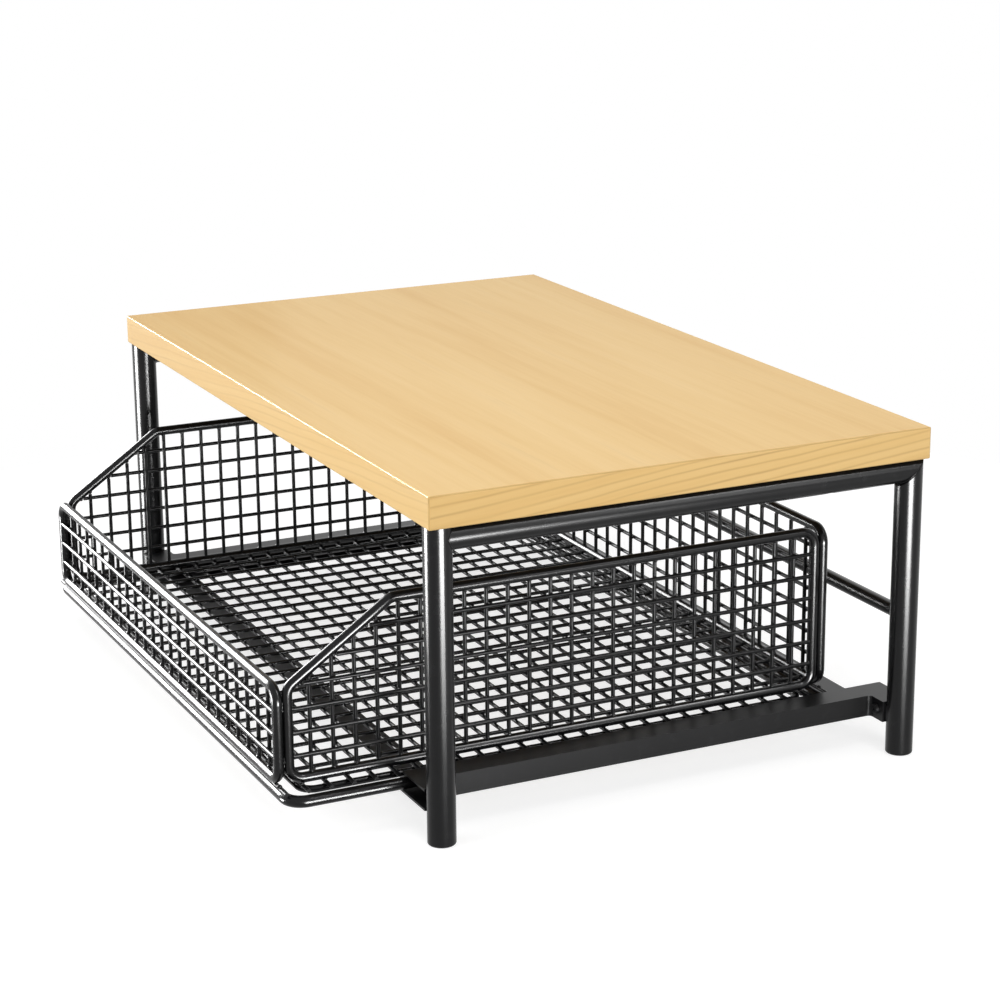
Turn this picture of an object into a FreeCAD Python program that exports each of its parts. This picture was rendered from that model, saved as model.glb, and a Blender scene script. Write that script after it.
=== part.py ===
"""Microwave stand with a wire drawer: a wooden top board on two tubular end frames,
sheet-metal runners low between the legs, and a wire drawer that slides in the runners.

Frame: origin at the centre of the board's top face, +X to the right, +Y to the back
(the drawer pulls out towards -Y), +Z up. Millimetres.
"""

import FreeCAD, Part

import math
import os

import Sketcher

V = FreeCAD.Vector

doc = FreeCAD.newDocument("MicrowaveStand")

# ---------------------------------------------------------------- driving dimensions

SIZES = {
    # top board
    "board_width": 600,
    "board_depth": 370,
    "board_thickness": 22,
    "board_edge_radius": 1,
    "stand_height": 235,
    # end frames: two legs and a top rail each
    "leg_diameter": 19,
    "leg_wall": 1.2,
    "leg_setback": 0.5,
    "rail_diameter": 17,
    "rail_wall": 1.2,
    "mitre_wall": 1.5,
    # foot plugs
    "foot_thickness": 4,
    "foot_edge_radius": 1.5,
    "spigot_length": 12,
    "spigot_wall": 2,
    "spigot_clearance": 0.05,
    # rear bar
    "rear_bar_diameter": 10,
    "rear_bar_height": 101,
    # runners and crossbars
    "sheet_thickness": 1.5,
    "runner_height": 15,
    "runner_lift": 22,
    "runner_leg_gap": 10.5,
    "runner_bend_radius": 3,
    "top_flange_width": 20,
    "bottom_flange_width": 30,
    "flange_leg_inset": 5,
    "crossbar_width": 20,
    "crossbar_thickness": 3,
    "crossbar_lead": 10.5,
    "crossbar_clearance": 1.3,
    # tongues on the legs, and the screws
    "tongue_thickness": 3,
    "tongue_reach": 18.5,
    "tongue_clearance": 0.3,
    "frame_screw_inset": 13,
    "frame_screw_diameter": 4,
    "frame_screw_length": 5,
    "frame_screw_head_diameter": 7,
    "frame_screw_head_height": 2.2,
    "board_screw_diameter": 4,
    "board_screw_bite": 14,
    "board_screw_head_diameter": 8,
    "board_screw_head_height": 2.6,
    "board_screw_spacing": 220,
    "board_screw_access": 0.5,
    "screw_clearance": 0.1,
    "screw_socket_diameter": 2.8,
    "screw_socket_depth": 1.3,
    # glides
    "glide_seat": 1.5,
    "glide_length": 12,
    "glide_wall": 2,
    "glide_clearance": 0.3,
    "front_glide_inset": 8,
    # drawer
    "rod_diameter": 7,
    "ring_rod_diameter": 8,
    "wire_diameter": 2.8,
    "rim_bend_radius": 10,
    "ring_bend_radius": 12,
    "ring_runner_inset": 18,
    "ring_side_outset": 15,
    "ring_end_inset": 2,
    "floor_rod_diameter": 5,
    "floor_rod_inset": 13.5,
    "floor_bend_radius": 10,
    "floor_wire_setback": 2.6,
    "drawer_length": 407,
    "drawer_side_height": 112.5,
    "drawer_front_height": 62.5,
    "drawer_slope_run": 73,
    "drawer_opened": 24,
    "drawer_stop_clearance": 0.3,
    "side_upright_count": 24,
    "side_bar_count": 6,
    "end_upright_count": 23,
    "front_bar_count": 3,
    "floor_cross_count": 27,
}

sheet = doc.addObject("Spreadsheet::Sheet", "Sizes")
for row, (alias, value) in enumerate(SIZES.items(), start=1):
    sheet.set(f"A{row}", alias)
    sheet.set(f"B{row}", str(value))
    sheet.setAlias(f"B{row}", alias)
doc.recompute()


def number(formula):
    """A formula's present value, worked out by the sheet."""
    return float(sheet.evalExpression(formula))


def count(alias):
    """A whole number from the sheet."""
    return int(sheet.get(alias))


# ---------------------------------------------------------------- shared places
# Formulas of the sheet's cells, used by every piece that meets there.

FLOOR = "(-Sizes.stand_height)"
UNDERSIDE = "(-Sizes.board_thickness)"

LEG_RADIUS = "(Sizes.leg_diameter / 2)"
LEG_X = f"(Sizes.board_width / 2 - Sizes.leg_setback - {LEG_RADIUS})"
LEG_Y = f"(Sizes.board_depth / 2 - Sizes.leg_setback - {LEG_RADIUS})"
LEG_OUTER_Y = f"({LEG_Y} + {LEG_RADIUS})"
LEG_INNER_Y = f"({LEG_Y} - {LEG_RADIUS})"
TUBE_BOTTOM = f"({FLOOR} + Sizes.foot_thickness)"
TUBE_LENGTH = f"({UNDERSIDE} - {TUBE_BOTTOM})"
RAIL_Z = f"({UNDERSIDE} - Sizes.rail_diameter / 2)"
RAIL_BORE = "(Sizes.rail_diameter / 2 - Sizes.rail_wall)"
# A board screw's flat head seats with its rim against the round of the rail's bore
BOARD_SEAT_Z = f"({RAIL_Z} + sqrt({RAIL_BORE} ^ 2 - (Sizes.board_screw_head_diameter / 2) ^ 2))"

RUNNER_BOTTOM = f"({FLOOR} + Sizes.runner_lift)"
RUNNER_TOP = f"({RUNNER_BOTTOM} + Sizes.runner_height)"
CHANNEL_BOTTOM = f"({RUNNER_BOTTOM} + Sizes.sheet_thickness)"
CHANNEL_TOP = f"({RUNNER_TOP} - Sizes.sheet_thickness)"
WEB_X = f"({LEG_X} - {LEG_RADIUS} - Sizes.runner_leg_gap)"
CHANNEL_X = f"({WEB_X} - Sizes.sheet_thickness)"
TAB_X = f"({LEG_X} - Sizes.flange_leg_inset)"
TAB_FACE_Y = f"({LEG_INNER_Y} - Sizes.sheet_thickness)"
BOTTOM_FLANGE_X = f"({WEB_X} - Sizes.bottom_flange_width)"
SCREW_X = f"({LEG_X} - Sizes.frame_screw_inset)"
SCREW_Z = f"({RUNNER_BOTTOM} + Sizes.runner_height / 2)"

ROD_RADIUS = "(Sizes.rod_diameter / 2)"
RING_ROD_RADIUS = "(Sizes.ring_rod_diameter / 2)"
WIRE_RADIUS = "(Sizes.wire_diameter / 2)"
RING_X = f"({WEB_X} - Sizes.ring_runner_inset)"
RING_Z = f"({CHANNEL_BOTTOM} + Sizes.glide_seat + Sizes.glide_clearance + {RING_ROD_RADIUS})"
CROSS_WIRE_Z = f"({RING_Z} + {RING_ROD_RADIUS} + {WIRE_RADIUS})"
LONG_WIRE_Z = f"({CROSS_WIRE_Z} + Sizes.wire_diameter)"
RIM_BOTTOM_Z = f"({CROSS_WIRE_Z} + {WIRE_RADIUS} + {ROD_RADIUS})"
RIM_TOP_Z = f"({RIM_BOTTOM_Z} + Sizes.drawer_side_height)"
FRONT_TOP_Z = f"({RIM_BOTTOM_Z} + Sizes.drawer_front_height)"
SIDE_X = f"({RING_X} - Sizes.ring_side_outset)"
BACK_Y = (
    f"({LEG_Y} - Sizes.rear_bar_diameter / 2 - Sizes.drawer_stop_clearance"
    f" - {ROD_RADIUS} - Sizes.drawer_opened)"
)
FRONT_Y = f"({BACK_Y} - Sizes.drawer_length)"
RING_FRONT_Y = f"({FRONT_Y} + Sizes.ring_end_inset)"
RING_BACK_Y = f"({BACK_Y} - Sizes.ring_end_inset)"
SIDE_BACK_Y = f"({BACK_Y} - Sizes.rod_diameter)"
SIDE_FRONT_Y = f"({FRONT_Y} + Sizes.rod_diameter)"
SLOPE_BACK_Y = f"({SIDE_FRONT_Y} + Sizes.drawer_slope_run)"
SLOPE_RISE = f"({RIM_TOP_Z} - {FRONT_TOP_Z})"
CROSS_PITCH = "(Sizes.drawer_length / (Sizes.floor_cross_count - 1))"
# The rear glide's rear face: the glide is centred between the second and third floor wires
# from the back, where the ring's side rod is straight
REAR_GLIDE_Y = f"({BACK_Y} - 1.5 * {CROSS_PITCH} + Sizes.glide_length / 2)"

SIDES = {"left": -1, "right": 1}
ENDS = {"front": -1, "rear": 1}

# Turns that stand a cylinder's own Z axis along another one
ALONG_X = FreeCAD.Rotation(V(0, 1, 0), 90)
ALONG_Y = FreeCAD.Rotation(V(1, 0, 0), -90)
AGAINST_Y = FreeCAD.Rotation(V(1, 0, 0), 90)
ALONG_Z = FreeCAD.Rotation()
HALF_TURN = FreeCAD.Rotation(V(0, 0, 1), 180)

# ---------------------------------------------------------------- building blocks


def bind(item, **formulas):
    """Binds an object's properties to formulas."""
    for name, formula in formulas.items():
        item.setExpression(name, formula)
    return item


def place(item, x="0", y="0", z="0", turn=ALONG_Z):
    """Turns an object and binds its position to three formulas."""
    item.Placement = FreeCAD.Placement(V(), turn)
    item.setExpression("Placement.Base.x", x)
    item.setExpression("Placement.Base.y", y)
    item.setExpression("Placement.Base.z", z)
    return item


def cylinder(name, radius, height, **position):
    item = doc.addObject("Part::Cylinder", name)
    bind(item, Radius=radius, Height=height)
    return place(item, **position)


def box(name, length, width, height, **position):
    item = doc.addObject("Part::Box", name)
    bind(item, Length=length, Width=width, Height=height)
    return place(item, **position)


def cut(name, base, *tools):
    """The base with every tool taken away."""
    item = doc.addObject("Part::Cut", name)
    item.Base = base
    item.Tool = tools[0]
    if len(tools) > 1:
        item.Tool = doc.addObject("Part::MultiFuse", name + "_tools")
        item.Tool.Shapes = list(tools)
    return item


def group(name, solids):
    """Separate solids kept together as one sub-part."""
    item = doc.addObject("Part::Compound", name)
    item.Links = solids
    return item


def new_body(name):
    item = doc.addObject("PartDesign::Body", name)
    item.Label = name
    return item


def new_sketch(body, role, offset="0"):
    """A sketch on one of the body's origin planes, moved along the plane's normal."""
    sketch = body.newObject("Sketcher::SketchObject", f"{body.Name}_sketch")
    plane = next(feature for feature in body.Origin.OriginFeatures if feature.Role == role)
    sketch.AttachmentSupport = (plane, [""])
    sketch.MapMode = "FlatFace"
    sketch.setExpression("AttachmentOffset.Base.z", offset)
    return sketch


def constrain(sketch, formula, *constraint):
    """Adds a dimension whose value follows a formula."""
    index = sketch.addConstraint(Sketcher.Constraint(*constraint, number(formula)))
    sketch.setExpression(f"Constraints[{index}]", formula)


def fix_point(sketch, geometry, point, x, y):
    """Holds a point of the sketch at a formula's distance from the origin."""
    constrain(sketch, x, "DistanceX", -1, 1, geometry, point)
    constrain(sketch, y, "DistanceY", -1, 1, geometry, point)


def draw_circle(sketch, x, y, radius):
    centre = V(number(x), number(y), 0)
    circle = sketch.addGeometry(Part.Circle(centre, V(0, 0, 1), number(radius)))
    constrain(sketch, radius, "Radius", circle)
    fix_point(sketch, circle, 3, x, y)


def draw_outline(sketch, corners):
    """A closed outline through corners (x, y) or, where it is rounded, (x, y, radius)."""
    points = [V(number(corner[0]), number(corner[1]), 0) for corner in corners]
    marks = [sketch.addGeometry(Part.Point(point), True) for point in points]
    for mark, corner in zip(marks, corners):
        fix_point(sketch, mark, 1, corner[0], corner[1])
    ends = [round_off(points, index, corner) for index, corner in enumerate(corners)]
    lines = []
    for index, (_, start, _) in enumerate(ends):
        stop = ends[(index + 1) % len(ends)][0]
        lines.append(sketch.addGeometry(Part.LineSegment(start, stop)))
    for index, (mark, (_, _, arc)) in enumerate(zip(marks, ends)):
        before, after = lines[index - 1], lines[index]
        if arc is None:
            sketch.addConstraint(Sketcher.Constraint("Coincident", before, 2, mark, 1))
            sketch.addConstraint(Sketcher.Constraint("Coincident", after, 1, mark, 1))
            continue
        curve, turns_left = arc
        bend = sketch.addGeometry(curve)
        near, far = (1, 2) if turns_left else (2, 1)
        sketch.addConstraint(Sketcher.Constraint("Tangent", before, 2, bend, near))
        sketch.addConstraint(Sketcher.Constraint("Tangent", after, 1, bend, far))
        constrain(sketch, corners[index][2], "Radius", bend)
        sketch.addConstraint(Sketcher.Constraint("PointOnObject", mark, 1, before))
        sketch.addConstraint(Sketcher.Constraint("PointOnObject", mark, 1, after))


def round_off(points, index, corner):
    """Where an outline stops before a corner, where it goes on, and the arc between."""
    point = points[index]
    if len(corner) < 3:
        return point, point, None
    back = (points[index - 1] - point).normalize()
    onward = (points[(index + 1) % len(points)] - point).normalize()
    half = back.getAngle(onward) / 2
    radius = number(corner[2])
    centre = point + (back + onward).normalize() * (radius / math.sin(half))
    stop = point + back * (radius / math.tan(half))
    start = point + onward * (radius / math.tan(half))
    turns_left = onward.cross(back).z > 0
    first, last = (stop, start) if turns_left else (start, stop)
    from_angle = math.atan2(first.y - centre.y, first.x - centre.x)
    to_angle = math.atan2(last.y - centre.y, last.x - centre.x)
    if to_angle < from_angle:
        to_angle += 2 * math.pi
    circle = Part.Circle(centre, V(0, 0, 1), radius)
    return stop, start, (Part.ArcOfCircle(circle, from_angle, to_angle), turns_left)


def rectangle(x0, y0, x1, y1, *radius):
    """The four corners of a rectangle, all with the same rounding if any."""
    return [(x0, y0, *radius), (x1, y0, *radius), (x1, y1, *radius), (x0, y1, *radius)]


def pad(body, sketch, length):
    feature = body.newObject("PartDesign::Pad", f"{body.Name}_pad")
    feature.Profile = sketch
    return bind(feature, Length=length)


def pocket(body, sketch, length=None, upward=False, both_ways=False):
    """Cuts a sketch into the body, right through unless a length is given."""
    doc.recompute()
    volume = body.Shape.Volume
    feature = body.newObject("PartDesign::Pocket", f"{body.Name}_pocket")
    feature.Profile = sketch
    feature.Reversed = upward
    if length is None:
        feature.Type = "ThroughAll"
        feature.Midplane = both_ways
    else:
        bind(feature, Length=length)
    doc.recompute()
    if not body.Shape.Volume < volume:
        raise RuntimeError(f"{feature.Name} cuts nothing")
    return feature


def bent_rod(name, role, corners, across_role, start, radius=ROD_RADIUS, **position):
    """A closed loop of rod along a rounded outline; start is a point (x, y) of its path
    in the plane across it, with the rod running straight through that plane."""
    body = new_body(name)
    path = new_sketch(body, role)
    draw_outline(path, corners)
    section = new_sketch(body, across_role)
    draw_circle(section, *start, radius)
    pipe = body.newObject("PartDesign::AdditivePipe", f"{name}_pipe")
    pipe.Profile = section
    pipe.Spine = (path, [])
    return place(body, **position)


def wire(name, length, **position):
    return cylinder(f"{name}_wire", WIRE_RADIUS, length, **position)


# ---------------------------------------------------------------- board and end frames


def top_board():
    body = new_body("top_board")
    outline = new_sketch(body, "XY_Plane", UNDERSIDE)
    half_width = "(Sizes.board_width / 2)"
    half_depth = "(Sizes.board_depth / 2)"
    draw_outline(outline, rectangle(f"-{half_width}", f"-{half_depth}", half_width, half_depth))
    slab = pad(body, outline, "Sizes.board_thickness")
    doc.recompute()
    rounding = body.newObject("PartDesign::Fillet", "top_board_rounding")
    rounding.Base = (slab, [f"Edge{n}" for n in range(1, len(slab.Shape.Edges) + 1)])
    bind(rounding, Radius="Sizes.board_edge_radius")
    holes = new_sketch(body, "XY_Plane", UNDERSIDE)
    for side in SIDES.values():
        for end in ENDS.values():
            x, y = board_screw_place(side, end)
            draw_circle(holes, x, y, "Sizes.board_screw_diameter / 2 + Sizes.screw_clearance")
    pocket(body, holes, "Sizes.board_screw_bite + Sizes.screw_clearance", upward=True)
    return body


def board_screw_place(side, end):
    return f"({side} * {LEG_X})", f"({end} * Sizes.board_screw_spacing / 2)"


# The mitre is a 45-degree plane that starts where the leg's outermost line meets the board
# and falls inwards. Its cutting block reaches out of every tube it cuts.
MITRE_BLOCK = "(3 * Sizes.leg_diameter)"
DIAGONAL = "(Sizes.leg_diameter / sqrt(2))"


def mitre_block(name, y, z, turn):
    return box(
        name, MITRE_BLOCK, MITRE_BLOCK, MITRE_BLOCK,
        x=f"-{MITRE_BLOCK} / 2", y=y, z=z, turn=FreeCAD.Rotation(V(1, 0, 0), turn),
    )


def leg_tube(name, bore_length):
    """A leg's tube up to the board, and the rod that will bore it, at the leg's own axis."""
    tube = cylinder(f"{name}_tube", LEG_RADIUS, TUBE_LENGTH, z=TUBE_BOTTOM)
    bore = cylinder(
        f"{name}_bore", f"{LEG_RADIUS} - Sizes.leg_wall", bore_length, z=TUBE_BOTTOM
    )
    return tube, bore


def front_leg(side_name):
    """A tube that stands up to the board and is closed just under it."""
    name = f"leg_front_{side_name}"
    tube, bore = leg_tube(name, f"{TUBE_LENGTH} - Sizes.mitre_wall")
    return place(cut(name, tube, bore), x=f"{SIDES[side_name]} * {LEG_X}", y=f"-{LEG_Y}")


def rear_leg(side_name):
    """A tube with its top cut to the mitre; the bore stops short of it, so it is closed."""
    name = f"leg_rear_{side_name}"
    tube, bore = leg_tube(name, TUBE_LENGTH)
    y = f"-{LEG_RADIUS} - {DIAGONAL}"
    z = f"{UNDERSIDE} + {DIAGONAL}"
    drop = "Sizes.mitre_wall / sqrt(2)"
    mitre = mitre_block(f"{name}_mitre", y, z, -45)
    lower_mitre = mitre_block(f"{name}_lower_mitre", f"{y} - {drop}", f"{z} - {drop}", -45)
    closed_bore = cut(f"{name}_closed_bore", bore, lower_mitre)
    item = cut(name, tube, mitre, closed_bore)
    return place(item, x=f"{SIDES[side_name]} * {LEG_X}", y=LEG_Y, turn=HALF_TURN)


def leg_cope(name, side, end):
    """A leg's outer cylinder, to shape whatever is welded against it."""
    return cylinder(
        f"{name}_cope", LEG_RADIUS, "Sizes.stand_height",
        x=f"{side} * {LEG_X}", y=f"{end} * {LEG_Y}", z=FLOOR,
    )


def top_rail(side_name):
    """The thinner tube under the board, coped round the front leg and mitred into the rear one.
    Each board screw has a hole through the upper wall and a wider one in the lower wall that
    lets its head in."""
    name = f"top_rail_{side_name}"
    length = f"{LEG_Y} + {LEG_OUTER_Y}"
    along = {"y": f"-{LEG_Y}", "z": RAIL_Z, "turn": ALONG_Y}
    tube = cylinder(f"{name}_tube", "Sizes.rail_diameter / 2", length, **along)
    bore = cylinder(f"{name}_bore", RAIL_BORE, length, **along)
    front = leg_cope(f"{name}_front", 0, -1)
    rear = mitre_block(
        f"{name}_rear_mitre", f"{LEG_OUTER_Y} + {DIAGONAL}", f"{UNDERSIDE} - 5 * {DIAGONAL}", 45
    )
    holes = []
    for end in ENDS.values():
        _, y = board_screw_place(1, end)
        holes.append(cylinder(
            f"{name}_hole", "Sizes.board_screw_diameter / 2 + Sizes.screw_clearance",
            "Sizes.rail_diameter", y=y, z=RAIL_Z,
        ))
        holes.append(cylinder(
            f"{name}_access", "Sizes.board_screw_head_diameter / 2 + Sizes.board_screw_access",
            "Sizes.rail_diameter", y=y, z=f"{RAIL_Z} - Sizes.rail_diameter",
        ))
    item = cut(name, tube, bore, front, rear, *holes)
    return place(item, x=f"{SIDES[side_name]} * {LEG_X}")


def foot_plug(side_name, end_name):
    """A plastic plug: a flange under the tube and a hollow spigot inside it."""
    body = new_body(f"foot_plug_{end_name}_{side_name}")
    flange_top = TUBE_BOTTOM
    spigot_top = f"({flange_top} + Sizes.spigot_length)"
    spigot_radius = f"({LEG_RADIUS} - Sizes.leg_wall - Sizes.spigot_clearance)"
    hollow_radius = f"({spigot_radius} - Sizes.spigot_wall)"
    profile = new_sketch(body, "XZ_Plane")
    draw_outline(profile, [
        ("0", FLOOR),
        (LEG_RADIUS, FLOOR, "Sizes.foot_edge_radius"),
        (LEG_RADIUS, flange_top),
        (spigot_radius, flange_top),
        (spigot_radius, spigot_top),
        (hollow_radius, spigot_top),
        (hollow_radius, flange_top),
        ("0", flange_top),
    ])
    turned = body.newObject("PartDesign::Revolution", f"{body.Name}_turned")
    turned.Profile = profile
    turned.ReferenceAxis = (profile, ["V_Axis"])
    turned.Angle = 360
    return place(body, x=f"{SIDES[side_name]} * {LEG_X}", y=f"{ENDS[end_name]} * {LEG_Y}")


def rear_bar():
    bar = cylinder(
        "rear_bar_rod", "Sizes.rear_bar_diameter / 2", f"2 * {LEG_X}",
        x=f"-{LEG_X}", y=LEG_Y, z=f"{FLOOR} + Sizes.rear_bar_height", turn=ALONG_X,
    )
    return cut("rear_bar", bar, *[leg_cope("rear_bar", side, 1) for side in SIDES.values()])


# ---------------------------------------------------------------- runners and crossbars


def flange_outline(inner_x):
    """Plan of a runner's flange: narrow between the legs, out to the legs at both ends."""
    bend = "Sizes.runner_bend_radius"
    return [
        (inner_x, f"-{LEG_OUTER_Y}"),
        (TAB_X, f"-{LEG_OUTER_Y}"),
        (TAB_X, f"-{TAB_FACE_Y}"),
        (WEB_X, f"-{TAB_FACE_Y}", bend),
        (WEB_X, TAB_FACE_Y, bend),
        (TAB_X, TAB_FACE_Y),
        (TAB_X, LEG_OUTER_Y),
        (inner_x, LEG_OUTER_Y),
    ]


def web_outline():
    """Plan of a runner's web: one sheet that bends outwards into a tab at both ends."""
    bend = "Sizes.runner_bend_radius"
    outer_bend = "(Sizes.runner_bend_radius + Sizes.sheet_thickness)"
    return [
        (TAB_X, f"-{TAB_FACE_Y}"),
        (WEB_X, f"-{TAB_FACE_Y}", bend),
        (WEB_X, TAB_FACE_Y, bend),
        (TAB_X, TAB_FACE_Y),
        (TAB_X, LEG_INNER_Y),
        (CHANNEL_X, LEG_INNER_Y, outer_bend),
        (CHANNEL_X, f"-{LEG_INNER_Y}", outer_bend),
        (TAB_X, f"-{LEG_INNER_Y}"),
    ]


def runner(side_name):
    """A channel open towards the drawer, notched round both legs, with a screw hole in
    each end tab. The left one is the right one turned half round."""
    body = new_body(f"runner_{side_name}")
    layers = [
        (flange_outline(BOTTOM_FLANGE_X), RUNNER_BOTTOM, "Sizes.sheet_thickness"),
        (web_outline(), RUNNER_BOTTOM, "Sizes.runner_height"),
        (flange_outline(f"({WEB_X} - Sizes.top_flange_width)"), CHANNEL_TOP, "Sizes.sheet_thickness"),
    ]
    for corners, level, thickness in layers:
        outline = new_sketch(body, "XY_Plane", level)
        draw_outline(outline, corners)
        pad(body, outline, thickness)
    notches = new_sketch(body, "XY_Plane", RUNNER_TOP)
    for end in ENDS.values():
        draw_circle(notches, LEG_X, f"{end} * {LEG_Y}", LEG_RADIUS)
    pocket(body, notches)
    holes = new_sketch(body, "XZ_Plane")
    draw_circle(holes, SCREW_X, SCREW_Z, "Sizes.frame_screw_diameter / 2 + Sizes.screw_clearance")
    pocket(body, holes, both_ways=True)
    return place(body, turn=HALF_TURN if side_name == "left" else ALONG_Z)


def crossbar(end_name):
    """A flat bar between the two runners' bottom flanges, just under the drawer's ring."""
    middle = f"({LEG_INNER_Y} - Sizes.crossbar_lead + Sizes.crossbar_width / 2)"
    top = f"({RING_Z} - {RING_ROD_RADIUS} - Sizes.crossbar_clearance)"
    return box(
        f"crossbar_{end_name}", f"2 * {BOTTOM_FLANGE_X}", "Sizes.crossbar_width",
        "Sizes.crossbar_thickness",
        x=f"-{BOTTOM_FLANGE_X}", y=f"{ENDS[end_name]} * {middle} - Sizes.crossbar_width / 2",
        z=f"{top} - Sizes.crossbar_thickness",
    )


def leg_tongue(side_name, end_name):
    """A plate welded to the leg behind the runner's tab, with the tab screw's hole."""
    side, end = SIDES[side_name], ENDS[end_name]
    name = f"leg_tongue_{end_name}_{side_name}"
    inner_x = f"({LEG_X} - Sizes.tongue_reach)"
    low_y = LEG_INNER_Y if end > 0 else f"(-{LEG_INNER_Y} - Sizes.tongue_thickness)"
    plate = box(
        f"{name}_plate", "Sizes.tongue_reach", "Sizes.tongue_thickness",
        "Sizes.runner_height - 2 * Sizes.sheet_thickness - 2 * Sizes.tongue_clearance",
        x=inner_x if side > 0 else f"-{LEG_X}", y=low_y,
        z=f"{CHANNEL_BOTTOM} + Sizes.tongue_clearance",
    )
    hole = cylinder(
        f"{name}_hole", "Sizes.frame_screw_diameter / 2 + Sizes.screw_clearance", "Sizes.leg_diameter",
        x=f"{side} * {SCREW_X}", y=f"{end} * {LEG_Y} - {LEG_RADIUS}", z=SCREW_Z, turn=ALONG_Y,
    )
    return cut(name, plate, leg_cope(name, side, end), hole)


def screw(name, kind, length):
    """A socket-head screw: its head below its own origin, its shank above."""
    head_height = f"Sizes.{kind}_head_height"
    head = cylinder(f"{name}_head", f"Sizes.{kind}_head_diameter / 2", head_height, z=f"-{head_height}")
    shank = cylinder(f"{name}_shank", f"Sizes.{kind}_diameter / 2", length)
    solid = doc.addObject("Part::Fuse", f"{name}_solid")
    solid.Base = head
    solid.Tool = shank
    socket = doc.addObject("Part::Prism", f"{name}_socket")
    socket.Polygon = 6
    bind(socket, Circumradius="Sizes.screw_socket_diameter / 2", Height="Sizes.screw_socket_depth")
    place(socket, z=f"-{head_height}")
    return cut(name, solid, socket)


def board_screws():
    """Inside each rail, through its upper wall into the board, two a side."""
    screws = []
    for side in SIDES.values():
        for end in ENDS.values():
            length = f"{UNDERSIDE} - {BOARD_SEAT_Z} + Sizes.board_screw_bite"
            x, y = board_screw_place(side, end)
            item = screw("board_screw", "board_screw", length)
            screws.append(place(item, x=x, y=y, z=BOARD_SEAT_Z))
    return group("board_screws", screws)


def frame_screws():
    """Through each runner tab into the tongue on the leg."""
    screws = []
    for side in SIDES.values():
        for end in ENDS.values():
            item = screw("frame_screw", "frame_screw", "Sizes.frame_screw_length")
            screws.append(place(
                item, x=f"{side} * {SCREW_X}", y=f"{end} * {TAB_FACE_Y}", z=SCREW_Z,
                turn=ALONG_Y if end > 0 else AGAINST_Y,
            ))
    return group("frame_screws", screws)


# ---------------------------------------------------------------- glides


def front_glide(side_name):
    """Fixed in the runner: a pad under the drawer's rod and a block beside it, which is
    also the stop that the rear glide meets."""
    side = SIDES[side_name]
    body = new_body(f"front_glide_{side_name}")
    seat_z = f"({CHANNEL_BOTTOM} + Sizes.glide_seat)"
    block_x = f"({side} * ({RING_X} + {RING_ROD_RADIUS} + Sizes.glide_clearance))"
    inner_x = f"({side} * {BOTTOM_FLANGE_X})"
    web_x = f"({side} * {CHANNEL_X})"
    section = new_sketch(body, "XZ_Plane")
    draw_outline(section, [
        (inner_x, CHANNEL_BOTTOM),
        (web_x, CHANNEL_BOTTOM),
        (web_x, CHANNEL_TOP),
        (block_x, CHANNEL_TOP),
        (block_x, seat_z),
        (inner_x, seat_z),
    ])
    pad(body, section, "Sizes.glide_length")
    return place(body, y=f"-{TAB_FACE_Y} + Sizes.front_glide_inset + Sizes.glide_length")


def rear_glide(side_name):
    """Carried by the drawer's rod between two floor wires, sliding inside the channel."""
    side = SIDES[side_name]
    body = new_body(f"rear_glide_{side_name}")
    clearance = "Sizes.glide_clearance"
    section = new_sketch(body, "XZ_Plane")
    draw_outline(section, rectangle(
        f"{side} * ({RING_X} - {RING_ROD_RADIUS} - Sizes.glide_wall)",
        f"{CHANNEL_BOTTOM} + {clearance}",
        f"{side} * ({CHANNEL_X} - {clearance})", f"{CHANNEL_TOP} - {clearance}",
    ))
    draw_circle(section, f"{side} * {RING_X}", RING_Z, RING_ROD_RADIUS)
    pad(body, section, "Sizes.glide_length")
    return place(body, y=REAR_GLIDE_Y)


# ---------------------------------------------------------------- drawer


def base_ring():
    """The rod frame under the floor, whose side rods run in the channels."""
    corners = rectangle(
        f"-{RING_X}", RING_FRONT_Y, RING_X, RING_BACK_Y, "Sizes.ring_bend_radius"
    )
    return bent_rod(
        "base_ring", "XY_Plane", corners, "XZ_Plane", (RING_X, "0"), RING_ROD_RADIUS, z=RING_Z
    )


def floor_rim():
    """A thinner rod frame inside the base ring, welded under the cross wires."""
    inset = "Sizes.floor_rod_inset"
    x = f"({RING_X} - {inset})"
    corners = rectangle(
        f"-{x}", f"{RING_FRONT_Y} + {inset}", x, f"{RING_BACK_Y} - {inset}", "Sizes.floor_bend_radius"
    )
    radius = "(Sizes.floor_rod_diameter / 2)"
    z = f"{CROSS_WIRE_Z} - {WIRE_RADIUS} - {radius}"
    return bent_rod("floor_rim", "XY_Plane", corners, "XZ_Plane", (x, "0"), radius, z=z)


def side_rim(side_name):
    """The rod round a side panel: level at the top, sloping down to the lower front."""
    bend = "Sizes.rim_bend_radius"
    corners = [
        (SIDE_FRONT_Y, RIM_BOTTOM_Z, bend),
        (SIDE_BACK_Y, RIM_BOTTOM_Z, bend),
        (SIDE_BACK_Y, RIM_TOP_Z, bend),
        (SLOPE_BACK_Y, RIM_TOP_Z, bend),
        (SIDE_FRONT_Y, FRONT_TOP_Z, bend),
    ]
    x = f"{SIDES[side_name]} * {SIDE_X}"
    return bent_rod(f"side_rim_{side_name}", "YZ_Plane", corners, "XZ_Plane", ("0", RIM_TOP_Z), x=x)


def end_rim(end_name, y, top):
    """The rod round the front or the rear panel."""
    corners = rectangle(f"-{SIDE_X}", RIM_BOTTOM_Z, SIDE_X, top, "Sizes.rim_bend_radius")
    return bent_rod(f"{end_name}_rim", "XZ_Plane", corners, "YZ_Plane", ("0", top), y=y)


def spread(low, high, copies):
    """Formulas of places shared out evenly between two rods."""
    return [f"({low} + ({high} - {low}) * {n} / ({copies} + 1))" for n in range(1, copies + 1)]


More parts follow.
